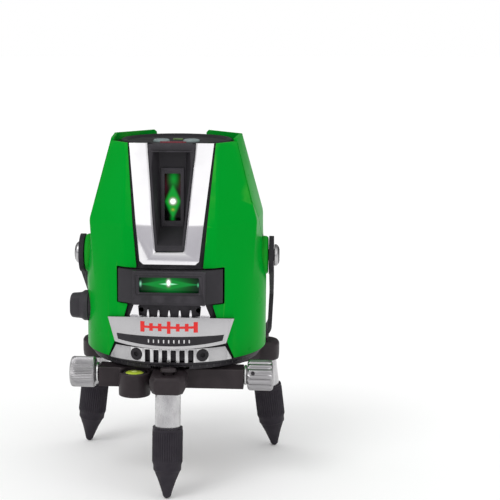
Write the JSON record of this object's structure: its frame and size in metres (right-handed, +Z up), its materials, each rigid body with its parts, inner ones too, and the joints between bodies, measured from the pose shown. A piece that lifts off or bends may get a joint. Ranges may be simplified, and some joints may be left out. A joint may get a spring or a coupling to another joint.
{
  "type": "laser level",
  "caption": "Green cross-line laser level with two glowing windows and a carry handle, on a three-legged base with screw feet, a round vial and a fine azimuth screw",
  "frame": {"origin": "on the floor, below the vertical axis that the head turns about", "axes": "+Z up, the laser windows face -Y, +X is the tool's left-hand side for someone who stands behind it and looks where it points"},
  "size_m": [0.1542, 0.1779, 0.235],
  "materials": {
    "green_shell": "smooth, glossy moulded shell",
    "black_plastic": "fine matte moulding",
    "black_casting": "satin black paint over a casting",
    "chrome": "bright plated trim",
    "aluminium": "satin turned aluminium",
    "steel": "machined steel",
    "rubber": "matte black rubber",
    "window_glass": "clear pane lit green from behind",
    "button_grey": "pale grey key cap",
    "vial_fluid": "yellow-green fluid under a clear lid",
    "brass": "machined brass",
    "copper": null,
    "board_green": "circuit board laminate",
    "battery_blue": "wrapped battery pack"
  },
  "bodies": {
    "base": {"tripod_base": "black_casting", "leg_post_front": "aluminium", "leg_post_right": "aluminium", "leg_post_left": "aluminium", "leg_bolt_front": "black_casting", "leg_bolt_right": "black_casting", "leg_bolt_left": "black_casting", "level_vial": "vial_fluid", "dial_ring": "black_plastic", "tripod_thread_insert": "brass", "azimuth_spindle": "steel"},
    "fine_screw": {"adjust_shaft": "steel", "adjust_knob_left": "aluminium", "adjust_knob_right": "aluminium", "adjust_washer_left": "steel", "adjust_washer_right": "steel"},
    "fine_nut": {"adjust_nut": "brass"},
    "drive_ring": {"azimuth_ring": "steel"},
    "head": {"head_chassis": "black_plastic", "panel_front_left": "green_shell", "panel_front_right": "green_shell", "panel_rear_left": "green_shell", "panel_rear_right": "green_shell", "top_cover": "black_plastic", "u_bezel": "chrome", "vertical_window_recess": "black_plastic", "vertical_window_glass": "window_glass", "horizontal_window_housing": "black_plastic", "horizontal_window_glass": "window_glass", "upper_vent_grille": "chrome", "badge_plate": "chrome", "lower_bezel": "chrome", "bezel_screw_left": "black_plastic", "bezel_screw_right": "black_plastic", "base_skirt": "black_plastic", "handle_pivot_left": "chrome", "handle_pivot_right": "chrome", "power_lamp": "window_glass", "battery_pack": "battery_blue", "circuit_board": "board_green", "gimbal_yoke": "aluminium", "damping_magnet": "steel"},
    "handle": {"carry_handle": "rubber"},
    "lock_knob": {"lock_knob": "black_plastic"},
    "lock_plunger": {"lock_plunger": "black_plastic"},
    "button_left": {"mode_button_left": "button_grey"},
    "button_right": {"mode_button_right": "button_grey"},
    "battery_door": {"battery_door": "black_plastic"},
    "gimbal": {"gimbal_ring": "steel"},
    "pendulum": {"pendulum_body": "aluminium", "vertical_laser_module": "brass", "horizontal_laser_module": "brass", "damping_plate": "copper"},
    "foot_seal_front": {"foot_ring_front": "rubber"},
    "foot_front": {"foot_front": "rubber"},
    "foot_seal_right": {"foot_ring_right": "rubber"},
    "foot_right": {"foot_right": "rubber"},
    "foot_seal_left": {"foot_ring_left": "rubber"},
    "foot_left": {"foot_left": "rubber"}
  },
  "joints": [
    {"name": "fine_turn", "type": "hinge", "parent": "base", "child": "fine_screw", "pos_m": [0, -0.044, 0.0758], "axis": [1, 0, 0], "range_deg": [-1801, 1801]},
    {"name": "nut_slide", "type": "slide", "parent": "base", "child": "fine_nut", "axis": [1, 0, 0], "range_m": [-0.005, 0.005]},
    {"name": "fine_azimuth", "type": "hinge", "parent": "base", "child": "drive_ring", "pos_m": [0, 0, 0.083], "axis": [0, 0, 1], "range_deg": [-6.7, 6.7]},
    {"name": "head_turn", "type": "hinge", "parent": "drive_ring", "child": "head", "pos_m": [0, 0, 0.087], "axis": [0, 0, 1], "continuous": true},
    {"name": "handle_swing", "type": "hinge", "parent": "head", "child": "handle", "pos_m": [0, 0, 0.151], "axis": [1, 0, 0], "range_deg": [0, 200]},
    {"name": "lock_turn", "type": "hinge", "parent": "head", "child": "lock_knob", "pos_m": [-0.066, -0.0125, 0.1155], "axis": [1, 0, 0], "range_deg": [0, 90]},
    {"name": "lock_lift", "type": "slide", "parent": "head", "child": "lock_plunger", "axis": [0, 0, 1], "range_m": [0, 0.00255]},
    {"name": "button_left_press", "type": "slide", "parent": "head", "child": "button_left", "axis": [0, 0, -1], "range_m": [0, 0.0014], "stiffness_N_per_m": 600, "springref_m": -0.0006},
    {"name": "button_right_press", "type": "slide", "parent": "head", "child": "button_right", "axis": [0, 0, -1], "range_m": [0, 0.0014], "stiffness_N_per_m": 600, "springref_m": -0.0006},
    {"name": "battery_door_open", "type": "hinge", "parent": "head", "child": "battery_door", "pos_m": [0, 0.0615, 0.0968], "axis": [-1, 0, 0], "range_deg": [0, 90]},
    {"name": "gimbal_pitch", "type": "hinge", "parent": "head", "child": "gimbal", "pos_m": [0, 0, 0.205], "axis": [1, 0, 0], "range_deg": [-3, 3]},
    {"name": "pendulum_roll", "type": "hinge", "parent": "gimbal", "child": "pendulum", "pos_m": [0, 0, 0.205], "axis": [0, 1, 0], "range_deg": [-3, 3]},
    {"name": "foot_travel_front", "type": "slide", "parent": "base", "child": "foot_seal_front", "axis": [0, -0.1392, -0.9903], "range_m": [-0.009, 0.009]},
    {"name": "foot_turn_front", "type": "hinge", "parent": "foot_seal_front", "child": "foot_front", "pos_m": [0, -0.0812, -0.003], "axis": [0, -0.1392, -0.9903], "range_deg": [-2161, 2161]},
    {"name": "foot_travel_right", "type": "slide", "parent": "base", "child": "foot_seal_right", "axis": [0.1205, 0.0696, -0.9903], "range_m": [-0.009, 0.009]},
    {"name": "foot_turn_right", "type": "hinge", "parent": "foot_seal_right", "child": "foot_right", "pos_m": [0.07032, 0.0406, -0.003], "axis": [0.1205, 0.0696, -0.9903], "range_deg": [-2161, 2161]},
    {"name": "foot_travel_left", "type": "slide", "parent": "base", "child": "foot_seal_left", "axis": [-0.1205, 0.0696, -0.9903], "range_m": [-0.009, 0.009]},
    {"name": "foot_turn_left", "type": "hinge", "parent": "foot_seal_left", "child": "foot_left", "pos_m": [-0.07032, 0.0406, -0.003], "axis": [-0.1205, 0.0696, -0.9903], "range_deg": [-2161, 2161]}
  ],
  "couplings": [
    {"joint": "fine_turn", "follows": "nut_slide", "rad_per_m": 6283.2},
    {"joint": "fine_azimuth", "follows": "nut_slide", "rad_per_m": 22.727},
    {"joint": "lock_turn", "follows": "lock_lift", "rad_per_m": 617.07},
    {"joint": "foot_turn_front", "follows": "foot_travel_front", "rad_per_m": 4188.8},
    {"joint": "foot_turn_right", "follows": "foot_travel_right", "rad_per_m": 4188.8},
    {"joint": "foot_turn_left", "follows": "foot_travel_left", "rad_per_m": 4188.8}
  ]
}
